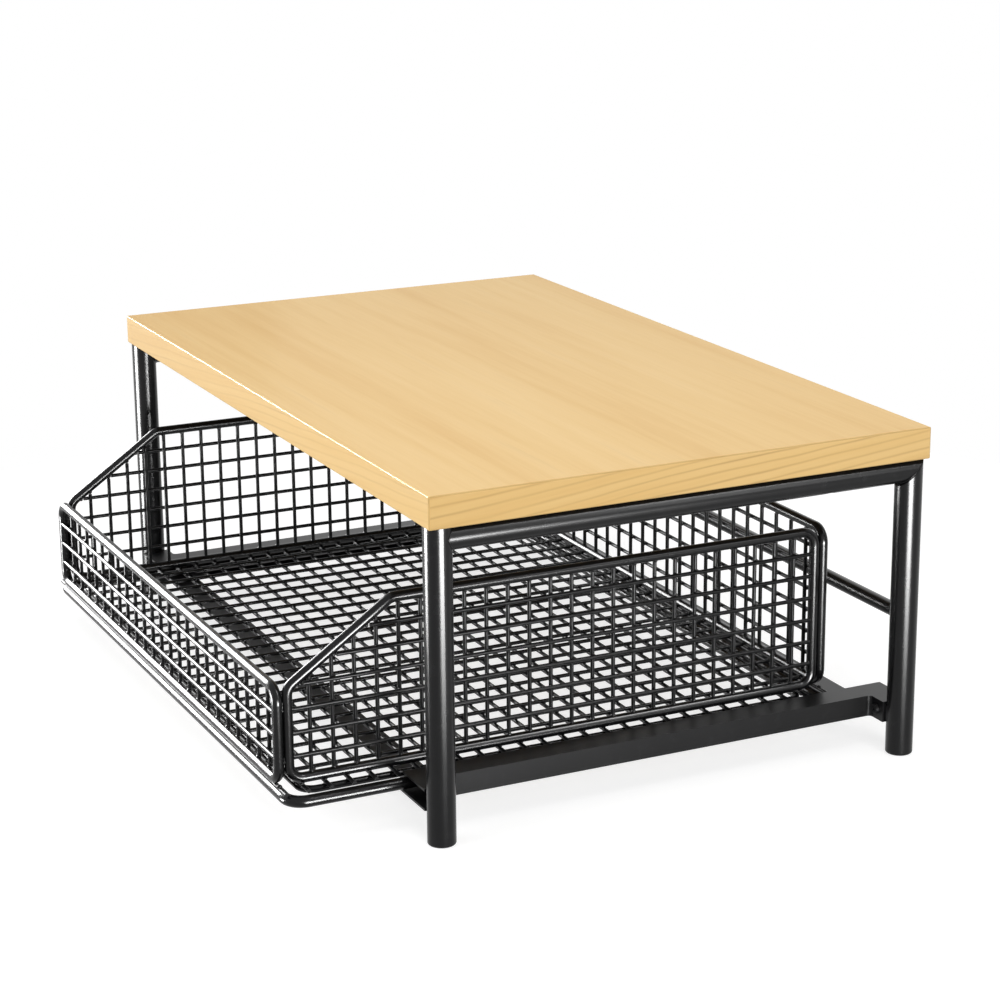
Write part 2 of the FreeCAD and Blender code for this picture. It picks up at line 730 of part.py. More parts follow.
def side_mesh(side_name):
    """Uprights on the inner side of the rim's plane, level bars on the outer side, each
    from rod to rod; both are cut short under the slope."""
    side = SIDES[side_name]
    name = f"side_mesh_{side_name}"
    foot = f"({RIM_BOTTOM_Z} + {ROD_RADIUS})"
    slope = f"({SLOPE_RISE} / Sizes.drawer_slope_run)"
    slant = f"sqrt(1 + {slope} ^ 2)"
    wires = []
    for y in spread(SIDE_FRONT_Y, SIDE_BACK_Y, count("side_upright_count")):
        under_top = f"{RIM_TOP_Z} - {ROD_RADIUS}"
        under_slope = (
            f"{FRONT_TOP_Z} + ({y} - {SIDE_FRONT_Y}) * {slope}"
            f" - {ROD_RADIUS} * {slant} - {WIRE_RADIUS} * {slope}"
        )
        height = f"min({under_top}; {under_slope}) - {foot}"
        wires.append(wire(name, height, x=f"{side} * ({SIDE_X} - {WIRE_RADIUS})", y=y, z=foot))
    for z in spread(RIM_BOTTOM_Z, RIM_TOP_Z, count("side_bar_count")):
        behind_post = f"{SIDE_FRONT_Y} + {ROD_RADIUS}"
        behind_slope = (
            f"{SIDE_FRONT_Y} + ({z} - {FRONT_TOP_Z} + {ROD_RADIUS} * {slant} + {WIRE_RADIUS}) / {slope}"
        )
        start = f"max({behind_post}; {behind_slope})"
        wires.append(wire(
            name, f"{SIDE_BACK_Y} - {ROD_RADIUS} - {start}",
            x=f"{side} * ({SIDE_X} + {WIRE_RADIUS})", y=start, z=z, turn=ALONG_Y,
        ))
    return group(name, wires)


def end_mesh(end_name, y, top, bars):
    """The front or rear panel's wires: uprights inside, level bars outside."""
    end = ENDS[end_name]
    name = f"{end_name}_mesh"
    foot = f"({RIM_BOTTOM_Z} + {ROD_RADIUS})"
    wires = []
    for x in spread(f"(-{SIDE_X})", SIDE_X, count("end_upright_count")):
        height = f"{top} - {ROD_RADIUS} - {foot}"
        wires.append(wire(name, height, x=x, y=f"{y} - {end} * {WIRE_RADIUS}", z=foot))
    reach = f"({SIDE_X} - {ROD_RADIUS})"
    for z in spread(RIM_BOTTOM_Z, top, bars):
        wires.append(wire(
            name, f"2 * {reach}", x=f"-{reach}", y=f"{y} + {end} * {WIRE_RADIUS}", z=z, turn=ALONG_X,
        ))
    return group(name, wires)


def floor_cross_wires():
    """Wires from side to side, lying on the base ring and the floor rim; the panels' rims
    stand on them."""
    reach = f"({RING_X} - Sizes.floor_wire_setback)"
    wires = []
    for n in range(count("floor_cross_count")):
        y = f"{FRONT_Y} + {n} * {CROSS_PITCH}"
        wires.append(wire("floor_cross", f"2 * {reach}", x=f"-{reach}", y=y, z=CROSS_WIRE_Z, turn=ALONG_X))
    return group("floor_cross_wires", wires)


def floor_long_wires():
    """Wires from front to rear on top of the cross wires, in line with the uprights."""
    start = f"({FRONT_Y} + {ROD_RADIUS})"
    wires = []
    for x in spread(f"(-{SIDE_X})", SIDE_X, count("end_upright_count")):
        length = "Sizes.drawer_length - Sizes.rod_diameter"
        wires.append(wire("floor_long", length, x=x, y=start, z=LONG_WIRE_Z, turn=ALONG_Y))
    return group("floor_long_wires", wires)


# ---------------------------------------------------------------- assembly

parts = [top_board(), rear_bar(), board_screws(), frame_screws()]
parts += [foot_plug(side, end) for side in SIDES for end in ENDS]
parts += [make(side) for side in SIDES for make in (front_leg, rear_leg)]
parts += [leg_tongue(side, end) for side in SIDES for end in ENDS]
parts += [crossbar(end) for end in ENDS]
for side in SIDES:
    parts += [top_rail(side), runner(side), front_glide(side), rear_glide(side)]
    parts += [side_rim(side), side_mesh(side)]
parts += [base_ring(), floor_rim(), floor_cross_wires(), floor_long_wires()]
parts += [end_rim("front", FRONT_Y, FRONT_TOP_Z), end_rim("rear", BACK_Y, RIM_TOP_Z)]
parts += [end_mesh("front", FRONT_Y, FRONT_TOP_Z, count("front_bar_count"))]
parts += [end_mesh("rear", BACK_Y, RIM_TOP_Z, count("side_bar_count"))]

doc.recompute()
for item in doc.Objects:
    if "Invalid" in item.State or "Error" in item.State:
        raise RuntimeError(f"{item.Label} failed: {item.State}")
for part in parts:
    if part.Shape.isNull() or not part.Shape.isValid():
        raise RuntimeError(f"{part.Label} has no valid shape")

os.makedirs("parts", exist_ok=True)
for part in parts:
    part.Shape.exportStep(f"parts/{part.Label}.step")
    print(f"{part.Label}: {len(part.Shape.Solids)} solids, {part.Shape.Volume / 1000:.2f} cm3")
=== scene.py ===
"""Dresses the microwave stand: lacquered wood, gloss black paint, and the welds of its
frame and basket, on a pale floor in plain studio light."""

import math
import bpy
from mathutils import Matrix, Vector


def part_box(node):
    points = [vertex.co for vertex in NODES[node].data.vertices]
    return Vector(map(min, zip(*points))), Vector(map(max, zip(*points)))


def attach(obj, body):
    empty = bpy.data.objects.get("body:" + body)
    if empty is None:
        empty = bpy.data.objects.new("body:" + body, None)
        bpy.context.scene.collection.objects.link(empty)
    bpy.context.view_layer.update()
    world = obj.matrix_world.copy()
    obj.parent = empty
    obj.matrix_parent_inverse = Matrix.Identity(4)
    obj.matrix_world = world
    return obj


bl_info = {
    "name": "Microwave Stand Dresser",
    "version": (1, 1, 0),
    "blender": (4, 5, 0),
    "location": "View3D > Sidebar > Stand",
    "description": "Finishes, welds, floor, lights and camera for a stand with a wire drawer",
    "category": "Object",
}

import bpy
import numpy as np
from mathutils import Matrix, Vector

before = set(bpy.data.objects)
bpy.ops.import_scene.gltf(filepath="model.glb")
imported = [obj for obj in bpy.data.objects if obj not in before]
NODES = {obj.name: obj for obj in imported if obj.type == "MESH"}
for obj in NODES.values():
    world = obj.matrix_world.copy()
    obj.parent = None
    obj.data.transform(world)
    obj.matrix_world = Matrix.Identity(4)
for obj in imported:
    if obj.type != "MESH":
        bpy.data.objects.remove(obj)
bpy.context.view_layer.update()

FRAME_TUBES = ("leg_front_", "leg_rear_", "top_rail_", "rear_bar")
SHEET_STEEL = ("runner_", "leg_tongue_", "crossbar_")
BASKET_RODS = ("base_ring", "floor_rim", "side_rim_", "front_rim", "rear_rim")
BRIGHT_WIRES = ("front_mesh", "floor_long")
SOFT_WIRES = ("side_mesh_", "rear_mesh", "floor_cross")
PLUGS = ("foot_plug_",)
GLIDES = ("front_glide_", "rear_glide_")
SCREWS = ("board_screws", "frame_screws")
SIDES = {"left": -1, "right": 1}

# How many wires each panel has, and how far the side rims' slope runs
SIDE_UPRIGHTS = 24
SIDE_BARS = 6
END_UPRIGHTS = 23
FRONT_BARS = 3
CROSS_WIRES = 27
SLOPE_RUN = 0.073

# Where a weld spot sits: how far out on the rod, as a share of its radius, and how far a
# wire's end spot leans out of the rod's plane, as a share of the wire's radius
SPOT_DEPTH = 0.92
SPOT_LEAN = 0.6

# The welds at the crossings, against the size of the other spots
CROSSING_SIZE = 0.88

# Where the beads between two posts stand, as shares of their height, and half their length
CORNER_BEADS = (0.2, 0.8)
CORNER_BEAD_HALF = 0.005

# Share of half a turn, either side of the bottom, over which the rail's seams run
SEAM_REACH = 0.72

# How far short of the crossbars' edges their beads end
BEAD_MARGIN = 0.001

# The painted shade on the end bands' rounded edges stops this high, just over the board's underside
EDGE_SHADE_LOWEST = -0.0213

# Light that the floor and the backdrop give
FLOOR_GREY = 0.42
FLOOR_LIFT = 0.76
BACKDROP_FILL = 0.36

LAMP_AIM = Vector((0, 0, -0.1))
WHITE = (1.0, 1.0, 1.0, 1.0)


# ---------------------------------------------------------------- shader expressions


class Socket:
    """A node's output. Python's operators on it add Math nodes."""

    def __init__(self, recipe, output):
        self.recipe = recipe
        self.output = output

    def math(self, operation, *others):
        inputs = dict(enumerate((self, *others)))
        return self.recipe.add("ShaderNodeMath", {"operation": operation}, inputs)

    def __add__(self, other):
        return self.math("ADD", other)

    def __sub__(self, other):
        return self.math("SUBTRACT", other)

    def __rsub__(self, other):
        return (self * -1.0) + other

    def __mul__(self, other):
        return self.math("MULTIPLY", other)

    def __pow__(self, other):
        return self.math("POWER", other)

    def __gt__(self, other):
        return self.math("GREATER_THAN", other)

    def __abs__(self):
        return self.math("ABSOLUTE")

    __radd__ = __add__
    __rmul__ = __mul__


class Recipe:
    """The nodes of one material or world, all of them made by add."""

    def __init__(self, owner):
        owner.use_nodes = True
        self.owner = owner
        self.tree = owner.node_tree
        self.tree.nodes.clear()

    def add(self, kind, settings=None, inputs=None, output=0):
        """Adds a node: its settings first, then the values or links of its sockets.
        Gives the named output, or a list of all of them when output is None."""
        node = self.tree.nodes.new(kind)
        for name, value in (settings or {}).items():
            if name == "stops":
                set_stops(node.color_ramp, value)
            else:
                setattr(node, name, value)
        for name, value in (inputs or {}).items():
            if isinstance(value, Socket):
                self.tree.links.new(value.output, node.inputs[name])
            else:
                node.inputs[name].default_value = value
        if output is None:
            return [Socket(self, each) for each in node.outputs]
        return Socket(self, node.outputs[output]) if node.outputs else None

    def place(self):
        """Positions on the object, in metres."""
        return self.add("ShaderNodeTexCoord", output="Object")

    def separate(self, vector):
        return self.add("ShaderNodeSeparateXYZ", inputs={0: vector}, output=None)

    def combine(self, x, y, z):
        return self.add("ShaderNodeCombineXYZ", inputs={0: x, 1: y, 2: z})

    def noise(self, vector, scale, detail=2.0, roughness=0.5, distortion=0.0):
        inputs = {
            "Vector": vector, "Scale": scale, "Detail": detail,
            "Roughness": roughness, "Distortion": distortion,
        }
        return self.add("ShaderNodeTexNoise", inputs=inputs)

    def ramp(self, factor, stops):
        return self.add("ShaderNodeValToRGB", {"stops": stops}, {"Fac": factor})

    def blend(self, factor, first, second, kind="MIX"):
        """Mixes two colours."""
        settings = {"data_type": "RGBA", "blend_type": kind}
        return self.add("ShaderNodeMix", settings, {0: factor, 6: first, 7: second}, output=2)

    def bump(self, height, strength, distance):
        inputs = {"Height": height, "Strength": strength, "Distance": distance}
        return self.add("ShaderNodeBump", inputs=inputs)

    def principled(self, **inputs):
        """Ends a material; an underscore in a name stands for a space."""
        named = {name.replace("_", " "): value for name, value in inputs.items()}
        shader = self.add("ShaderNodeBsdfPrincipled", inputs=named)
        self.add("ShaderNodeOutputMaterial", inputs={"Surface": shader})
        return self.owner

    def seen(self):
        """1 for rays from the camera and for those by reflection or through glass, else 0."""
        kinds = ("Is Camera Ray", "Is Glossy Ray", "Is Transmission Ray")
        rays = [self.add("ShaderNodeLightPath", output=kind) for kind in kinds]
        return (rays[0] + rays[1] + rays[2]).math("MINIMUM", 1.0)


def set_stops(ramp, stops):
    """Sets a colour ramp's stops from (position, colour) pairs."""
    while len(ramp.elements) < len(stops):
        ramp.elements.new(0.5)
    for element, (position, colour) in zip(ramp.elements, stops):
        element.position = position
        element.color = colour


def shade(colour, factor):
    """A colour made darker or lighter, with full opacity."""
    return tuple(min(1.0, channel * factor) for channel in colour[:3]) + (1.0,)


# ---------------------------------------------------------------- finishes


def wood_finish(settings):
    """Pale lacquered wood. On the top, soft staves and long streaks run along X. On the four
    edge bands fine dark lines follow the edge and slant a few degrees to it."""
    r = Recipe(bpy.data.materials.new("lacquered_wood"))
    light, middle, dark = (
        shade(colour, 1.0) for colour in (settings.light, settings.middle, settings.dark)
    )

    # along the grain and across it, on the top and on the four bands
    x, y, z = r.separate(r.place())
    facing = r.separate(r.add("ShaderNodeNewGeometry", output="Normal"))
    nx, ny, nz = (abs(part) for part in facing)
    flat = nz > 0.7
    side = 1.0 - flat
    along = x * ny + y * nx
    run = x * flat + along * side
    across = y * flat + (z - along * settings.slant) * side

    warp = r.noise(r.combine(run * 3.0, across * 14.0, side * 0.7), 1.0)
    ripple = r.noise(r.combine(run * 11.0, across * 50.0, 0.8), 1.0)
    staves = r.noise(r.combine(run * 1.3, across * 13.0, side * 0.3), 1.0, distortion=0.3)
    streaks = r.noise(r.combine(run * 4.0, across * 85.0, 0.2), 1.0, detail=3.0, roughness=0.6)
    fibres = r.noise(r.combine(run * 26.0, across * 900.0, 0.5), 1.0, detail=3.0, roughness=0.6)

    # staves and streaks set the tone, and lines, marks and pores darken it
    tone = staves * 0.55 + streaks * 0.45
    colour = r.ramp(tone, [(0.3, dark), (0.5, middle), (0.7, light)])
    bent = across + warp * 0.016 + ripple * 0.004
    wave = (bent * (2 * math.pi / settings.line_pitch)).math("SINE")
    depth = side * 0.42 * (1.0 - ny * 0.55) + flat * 0.03
    lines = (wave * 0.5 + 0.5) ** 7.0 * (streaks * 2.0 - 0.5) * depth
    marks = ((streaks - 0.6) * 5.0).math("MAXIMUM", 0.0) * 0.1
    pores = (fibres - 0.5) * 0.14
    darker = (lines + marks + pores).math("MAXIMUM", 0.0)
    colour = r.blend(darker, colour, shade(dark, 0.45), "MULTIPLY")

    # painted shade: a thin brown line on the end bands' rounded edges, where they meet the top and
    # the front and back bands; the front and back bands' top edges catch the light and get none
    round_edge = 1.0 - nx.math("MAXIMUM", ny).math("MAXIMUM", nz)
    edge_shade = (round_edge > 0.02) * (nx > 0.2) * (z > EDGE_SHADE_LOWEST) * 0.42
    colour = r.blend(edge_shade, colour, shade(dark, 0.42))
    grain = fibres * 0.6 + streaks * 0.4 - lines
    return r.principled(
        Base_Color=colour,
        Roughness=settings.roughness + (streaks - 0.5) * 0.15,
        Specular_IOR_Level=0.02,
        Normal=r.bump(grain, 0.06, 0.0002),
        Coat_Weight=settings.lacquer,
        Coat_Roughness=settings.lacquer_roughness,
    )


def paint_finish(name, colour, roughness, peel_scale, peel, specular):
    """Gloss paint on steel: a fine orange peel, thin spots a little lighter, faint dust."""
    r = Recipe(bpy.data.materials.new(name))
    place = r.place()
    skin = r.noise(place, peel_scale, detail=2.0)
    cloud = r.noise(place, 16.0, detail=3.0)
    dust = (r.noise(place, 130.0, detail=3.0) - 0.56).math("MAXIMUM", 0.0)
    tint = r.blend(cloud, shade(colour, 0.7), shade(colour, 1.4))
    return r.principled(
        Base_Color=r.blend(dust, tint, shade(colour, 4.0)),
        Roughness=roughness + (cloud - 0.5) * 0.06 + dust * 0.12,
        Specular_IOR_Level=specular,
        Normal=r.bump(skin, peel, 0.0002),
    )


def moulded_finish(name, colour, roughness, grain_scale):
    """Moulded plastic with a fine grain."""
    r = Recipe(bpy.data.materials.new(name))
    place = r.place()
    grain = r.noise(place, grain_scale, detail=2.0)
    cloud = r.noise(place, 30.0, detail=2.0)
    return r.principled(
        Base_Color=r.blend(cloud, shade(colour, 0.8), shade(colour, 1.3)),
        Roughness=roughness + (cloud - 0.5) * 0.1,
        Specular_IOR_Level=0.35,
        Normal=r.bump(grain, 0.12, 0.0002),
    )


def dress(prefixes, material):
    """Gives a material to every CAD node whose name starts with one of the prefixes."""
    for name, piece in NODES.items():
        if name.startswith(prefixes):
            piece.data.materials.clear()
            piece.data.materials.append(material)


# ---------------------------------------------------------------- surfaces


def swept(path, radii, beside, sides, closed=False):
    """A round section carried along a path, as points and faces. At path point i and turn u,
    point = path_i + r_i (n_i cos u + b_i sin u), where n is the path's direction crossed with
    beside, and b the direction crossed with n. An open path's two ends are poles."""
    path = np.asarray(path, float)
    ahead = np.roll(path, -1, 0) - np.roll(path, 1, 0) if closed else np.gradient(path, axis=0)
    ahead /= np.linalg.norm(ahead, axis=1, keepdims=True)
    normal = np.cross(ahead, beside)
    normal /= np.linalg.norm(normal, axis=1, keepdims=True)
    across = np.cross(ahead, normal)
    u = np.linspace(0, 2 * np.pi, sides, endpoint=False)[None, :, None]
    section = normal[:, None] * np.cos(u) + across[:, None] * np.sin(u)
    grid = path[:, None] + np.asarray(radii)[:, None, None] * section
    if not closed:
        grid = grid[1:-1]
    rings = len(grid)
    index = np.arange(rings * sides).reshape(rings, sides)
    beyond = np.roll(index, -1, 1)
    low, high = (slice(None), np.roll(index, -1, 0)) if closed else (slice(-1), index[1:])
    high_beyond = np.roll(high, -1, 1)
    quads = np.stack([index[low], beyond[low], high_beyond, high], -1).reshape(-1, 4)
    points = grid.reshape(-1, 3)
    if closed:
        return points, [quads]
    points = np.vstack([points, path[:1], path[-1:]])
    first, last = np.full(sides, len(points) - 2), np.full(sides, len(points) - 1)
    start = np.stack([first, beyond[0], index[0]], -1)
    end = np.stack([last, index[-1], beyond[-1]], -1)
    return points, [quads, start, end]


def bead(path, radius, beside, closed=False):
    """A weld bead along a path: its radius swells and sinks in small ripples, and an open
    bead runs out to nothing, r = R (1 + 0.12 cos(2 pi s / pitch)) (1 - |2 s / L - 1| ^ 6) ^ 0.5."""
    path = np.asarray(path, float)
    steps = np.linalg.norm(np.diff(path, axis=0), axis=1)
    s = np.concatenate([[0.0], np.cumsum(steps)])
    ripples = max(2, round(s[-1] / (1.3 * radius)))
    radii = radius * (1 + 0.12 * np.cos(2 * np.pi * ripples * s / s[-1]))
    if not closed:
        radii = radii * np.sqrt(np.clip(1 - np.abs(2 * s / s[-1] - 1) ** 6, 0, 1))
    return swept(path, radii, beside, 8, closed)


def spots(centres, half_sizes, seed):
    """Weld spots: the same small ellipsoid at every centre, x = a cos v cos u, y = b cos v sin u,
    z = c sin v, each a little larger or smaller than the next."""
    v = np.linspace(-np.pi / 2, np.pi / 2, 5)
    axis = np.stack([0 * v, 0 * v, np.sin(v)], -1)
    ball, faces = swept(axis, np.cos(v), (0, 1, 0), 6)
    centres = np.asarray(centres, float).reshape(-1, 3)
    spread = np.random.default_rng(seed).uniform(0.85, 1.12, (len(centres), 1, 1))
    points = centres[:, None] + ball * np.asarray(half_sizes) * spread
    shift = (np.arange(len(centres)) * len(ball))[:, None, None]
    faces = [(each[None] + shift).reshape(-1, each.shape[1]) for each in faces]
    return points.reshape(-1, 3), faces


def piece(name, shapes, material, body, slot):
    """Joins shapes into one object that rides on a body."""
    points, faces, shift = [], [], 0
    for shape_points, shape_faces in shapes:
        points.append(shape_points)
        faces += [each + shift for each in shape_faces]
        shift += len(shape_points)
    mesh = bpy.data.meshes.new(name)
    mesh.from_pydata(np.vstack(points).tolist(), [], sum((each.tolist() for each in faces), []))
    mesh.polygons.foreach_set("use_smooth", np.ones(len(mesh.polygons), bool))
    mesh.update()
    item = bpy.data.objects.new(name, mesh)
    bpy.context.scene.collection.objects.link(item)
    mesh.materials.append(material)
    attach(item, body)
    return item


# ---------------------------------------------------------------- places of the welds


def box(node):
    """A node's lowest and highest corners as arrays."""
    low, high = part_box(node)
    return np.array(low), np.array(high)


def between(low, high, count):
    """Places shared out evenly between two rods."""
    return low + (high - low) * np.arange(1, count + 1) / (count + 1)


def grid_points(*axes):
    """Every combination of the places on three axes."""
    return np.stack(np.meshgrid(*axes, indexing="ij"), -1).reshape(-1, 3)


class Basket:
    """Middle lines of the basket's rods and places of its wires, from the CAD boxes."""

    def __init__(self):
        low, high = box("side_rim_right")
        self.rod = (high[0] - low[0]) / 2
        self.side_x = (low[0] + high[0]) / 2
        self.side_front, self.side_back = low[1] + self.rod, high[1] - self.rod
        self.bottom, self.top = low[2] + self.rod, high[2] - self.rod
        low, high = box("front_rim")
        self.front, self.front_top = (low[1] + high[1]) / 2, high[2] - self.rod
        low, high = box("rear_rim")
        self.back = (low[1] + high[1]) / 2
        low, high = box("floor_cross_wires")
        self.wire = (high[2] - low[2]) / 2
        self.cross_z, self.cross_end = (low[2] + high[2]) / 2, high[0]
        self.cross_y = np.linspace(self.front, self.back, CROSS_WIRES)
        self.long_z = self.cross_z + 2 * self.wire
        self.end_x = between(-self.side_x, self.side_x, END_UPRIGHTS)
        low, high = box("floor_rim")
        floor_rod = (high[2] - low[2]) / 2
        self.floor_x = high[0] - floor_rod

    def slope(self, y):
        """Height of the side rim's middle line over a place along it."""
        rise = (self.top - self.front_top) / SLOPE_RUN
        return np.minimum(self.top, self.front_top + (y - self.side_front) * rise)


# ---------------------------------------------------------------- settings


def colour_setting(name, description, default):
    return bpy.props.FloatVectorProperty(
        name=name, description=description, default=default,
        subtype="COLOR", size=3, min=0.0, max=1.0,
    )


def share_setting(name, description, default):
    return bpy.props.FloatProperty(
        name=name, description=description, subtype="FACTOR", default=default, min=0.0, max=1.0
    )


def length_setting(name, description, default):
    return bpy.props.FloatProperty(
        name=name, description=description, unit="LENGTH", default=default, min=0.0, precision=4
    )


class StandWoodSettings(bpy.types.PropertyGroup):
    """The top board's lacquered wood."""

    light: colour_setting("Light wood", "Colour between the streaks", (0.83, 0.585, 0.27))
    middle: colour_setting("Wood", "Main colour of the wood", (0.79, 0.535, 0.225))
    dark: colour_setting("Dark grain", "Colour of the streaks", (0.72, 0.45, 0.165))
    roughness: share_setting("Roughness", "Roughness under the lacquer", 0.55)
    lacquer: share_setting("Lacquer", "Weight of the lacquer coat", 0.16)
    lacquer_roughness: share_setting("Lacquer roughness", "Roughness of the lacquer coat", 0.16)
    slant: bpy.props.FloatProperty(
        name="Slant", description="Rise of the edge bands' grain over its run", default=0.1
    )
    line_pitch: length_setting("Line pitch", "Spacing of the edge bands' dark lines", 0.006)


class StandMetalSettings(bpy.types.PropertyGroup):
    """The black steel and the plastic fittings."""

    paint: colour_setting("Paint", "Colour of the black paint", (0.004, 0.004, 0.0044))
    roughness: share_setting("Roughness", "Roughness of the gloss paint", 0.24)
    specular: share_setting("Gloss", "Specular level of the paint", 0.2)
    plastic: colour_setting("Plastic", "Colour of the glides", (0.012, 0.012, 0.012))


class StandWeldSettings(bpy.types.PropertyGroup):
    """The weld beads on the frame and the weld spots on the basket."""

    bead_radius: length_setting("Bead radius", "Radius of the beads on the frame", 0.0009)
    seam_radius: length_setting("Seam radius", "Radius of the ground seam at the mitres", 0.0005)
    spot_radius: length_setting("Spot radius", "Half width of the spots on the basket", 0.0018)


class StandStageSettings(bpy.types.PropertyGroup):
    """Floor, lights and camera."""

    floor_radius: length_setting("Floor radius", "Radius of the round floor", 0.75)
    azimuth: bpy.props.FloatProperty(
        name="Azimuth", description="Camera's angle round the stand, 0 at its front",
        default=math.radians(64.4536), subtype="ANGLE", unit="ROTATION",
    )
    elevation: bpy.props.FloatProperty(
        name="Elevation", description="Camera's angle above the horizon",
        default=math.radians(16.1412), subtype="ANGLE", unit="ROTATION",
    )
    roll: bpy.props.FloatProperty(
        name="Roll", description="Camera's tilt about its own line of sight",
        default=math.radians(-0.4941), subtype="ANGLE", unit="ROTATION",
    )
    distance: length_setting("Distance", "Camera's distance from its target", 1.5645)
    lens: bpy.props.FloatProperty(
        name="Lens", description="Focal length on a 36 mm sensor", default=92.567, unit="CAMERA"
    )
    target: bpy.props.FloatVectorProperty(
        name="Target", description="Point at the middle of the view",
        default=(0.3259, -0.1488, 0.0), subtype="TRANSLATION", unit="LENGTH",
    )


# ---------------------------------------------------------------- operators


class STAND_OT_board(bpy.types.Operator):
    """Gives the top board its lacquered wood"""

    bl_idname = "stand.board"
    bl_label = "Finish Board"

    def execute(self, context):
        dress(("top_board",), wood_finish(context.scene.stand_wood))
        return {"FINISHED"}


# finish, what it paints, colour x, added roughness, scale and depth of the peel, gloss x
STEEL_FINISHES = (
    ("gloss_tube", (FRAME_TUBES, PLUGS), 1.0, 0.0, 380.0, 0.025, 1.0),
    ("gloss_sheet", (SHEET_STEEL,), 1.0, 0.13, 300.0, 0.05, 0.7),
    ("gloss_rod", (BASKET_RODS,), 1.0, 0.0, 500.0, 0.04, 1.0),
    ("gloss_wire", (BRIGHT_WIRES,), 1.0, 0.0, 700.0, 0.03, 1.0),
    ("soft_wire", (SOFT_WIRES,), 1.0, 0.08, 700.0, 0.03, 0.5),
    ("blackened_screw", (SCREWS,), 1.8, 0.1, 700.0, 0.05, 2.5),
)


class STAND_OT_steel(bpy.types.Operator):
    """Paints the legs, rails, runners, screws and the basket"""

    bl_idname = "stand.steel"
    bl_label = "Paint Steel"

    def execute(self, context):
        settings = context.scene.stand_metal
        for name, nodes, tint, duller, peel_scale, peel, gloss in STEEL_FINISHES:
            finish = paint_finish(
                name, shade(settings.paint, tint), settings.roughness + duller,
                peel_scale, peel, settings.specular * gloss,
            )
            for prefixes in nodes:
                dress(prefixes, finish)
        return {"FINISHED"}


class STAND_OT_glides(bpy.types.Operator):
    """Gives the glides their moulded plastic"""

    bl_idname = "stand.glides"
    bl_label = "Finish Glides"

    def execute(self, context):
        colour = context.scene.stand_metal.plastic
        dress(GLIDES, moulded_finish("moulded_plastic", colour, 0.5, 900.0))
        return {"FINISHED"}


def weld_paint(scene):
    """The paint over the welds, thicker and softer than on the tubes."""
    settings = scene.stand_metal
    made = bpy.data.materials.get("gloss_weld")
    return made or paint_finish(
        "gloss_weld", settings.paint, settings.roughness + 0.06, 600.0, 0.12, settings.specular
    )


def both_sides(shape):
    """A shape and its mirror image in X = 0, whose faces are turned round to point outwards."""
    points, faces = shape
    return [shape, (points * (-1, 1, 1), [each[:, ::-1] for each in faces])]


class STAND_OT_frame_welds(bpy.types.Operator):
    """Adds the weld beads of the two end frames, the rear bar, the tongues and the crossbars"""

    bl_idname = "stand.frame_welds"
    bl_label = "Add Frame Welds"

    def execute(self, context):
        settings = context.scene.stand_weld
        paint = weld_paint(context.scene)
        rail_low, rail_high = box("top_rail_right")
        leg_low, leg_high = box("leg_rear_right")
        leg_radius = (leg_high[0] - leg_low[0]) / 2
        leg_x, leg_y = (leg_low[:2] + leg_high[:2]) / 2
        rail_radius = (rail_high[0] - rail_low[0]) / 2
        rail_z, outer_y = rail_high[2] - rail_radius, rail_high[1]

        # the rail's ellipse on the rear mitre: x = X + R sin t, z = Z - R cos t, and y
        # falls as z does
        t = np.linspace(-SEAM_REACH, SEAM_REACH, 60) * np.pi
        seam_z = rail_z - rail_radius * np.cos(t)
        seam_y = outer_y - (rail_high[2] - seam_z)
        path = np.stack([leg_x + rail_radius * np.sin(t), seam_y, seam_z], -1)
        seams = both_sides(bead(path, settings.seam_radius, (0, 1, -1)))

        # the rail's end on the front leg, with the leg's radius R and the rail's r:
        # y = -Y + (R^2 - (r sin t)^2) ^ 0.5
        reach = np.sqrt(leg_radius**2 - (rail_radius * np.sin(t)) ** 2)
        path = np.stack([leg_x + rail_radius * np.sin(t), reach - leg_y, seam_z], -1)
        seams += both_sides(bead(path, settings.seam_radius, (0, 1, 0)))
        piece("rail_welds", seams, paint, "frame", "frame")

        # round the bar's end on the leg, in the same way: x = X - (R^2 - (r cos t)^2) ^ 0.5
        bar_low, bar_high = box("rear_bar")
        bar_radius = (bar_high[2] - bar_low[2]) / 2
        t = np.linspace(0, 2 * np.pi, 48, endpoint=False)
        path = np.stack([
            leg_x - np.sqrt(leg_radius**2 - (bar_radius * np.cos(t)) ** 2),
            leg_y + bar_radius * np.cos(t),
            (bar_low[2] + bar_high[2]) / 2 + bar_radius * np.sin(t),
        ], -1)
        loop = bead(path, settings.bead_radius, (1, 0, 0), closed=True)
        piece("rear_bar_welds", both_sides(loop), paint, "frame", "frame")

        # upright beads where each tongue's outer face meets the leg
        low, high = box("leg_tongue_rear_right")
        reach = leg_y - high[1]
        x = leg_x - math.sqrt(leg_radius**2 - reach**2)
        z = np.linspace(low[2], high[2], 24)
        uprights = []
        for end in (-1, 1):
            path = np.stack([0 * z + x, 0 * z + end * high[1], z], -1)
            uprights += both_sides(bead(path, settings.bead_radius, (1, 0, 0)))
        piece("tongue_welds", uprights, paint, "frame", "frame")

        # beads along both ends of the crossbars, at a quarter and three quarters of
        # their thickness
        low, high = box("crossbar_rear")
        thickness = (high[2] - low[2]) / 4
        y = np.linspace(low[1] + BEAD_MARGIN, high[1] - BEAD_MARGIN, 30)
        beads = []
        for end in (-1, 1):
            for level in (low[2] + thickness, high[2] - thickness):
                path = np.stack([0 * y + high[0], end * y, 0 * y + level], -1)
                beads += both_sides(bead(path, settings.bead_radius, (0, 0, 1)))
        piece("crossbar_welds", beads, paint, "frame", "frame")
        return {"FINISHED"}


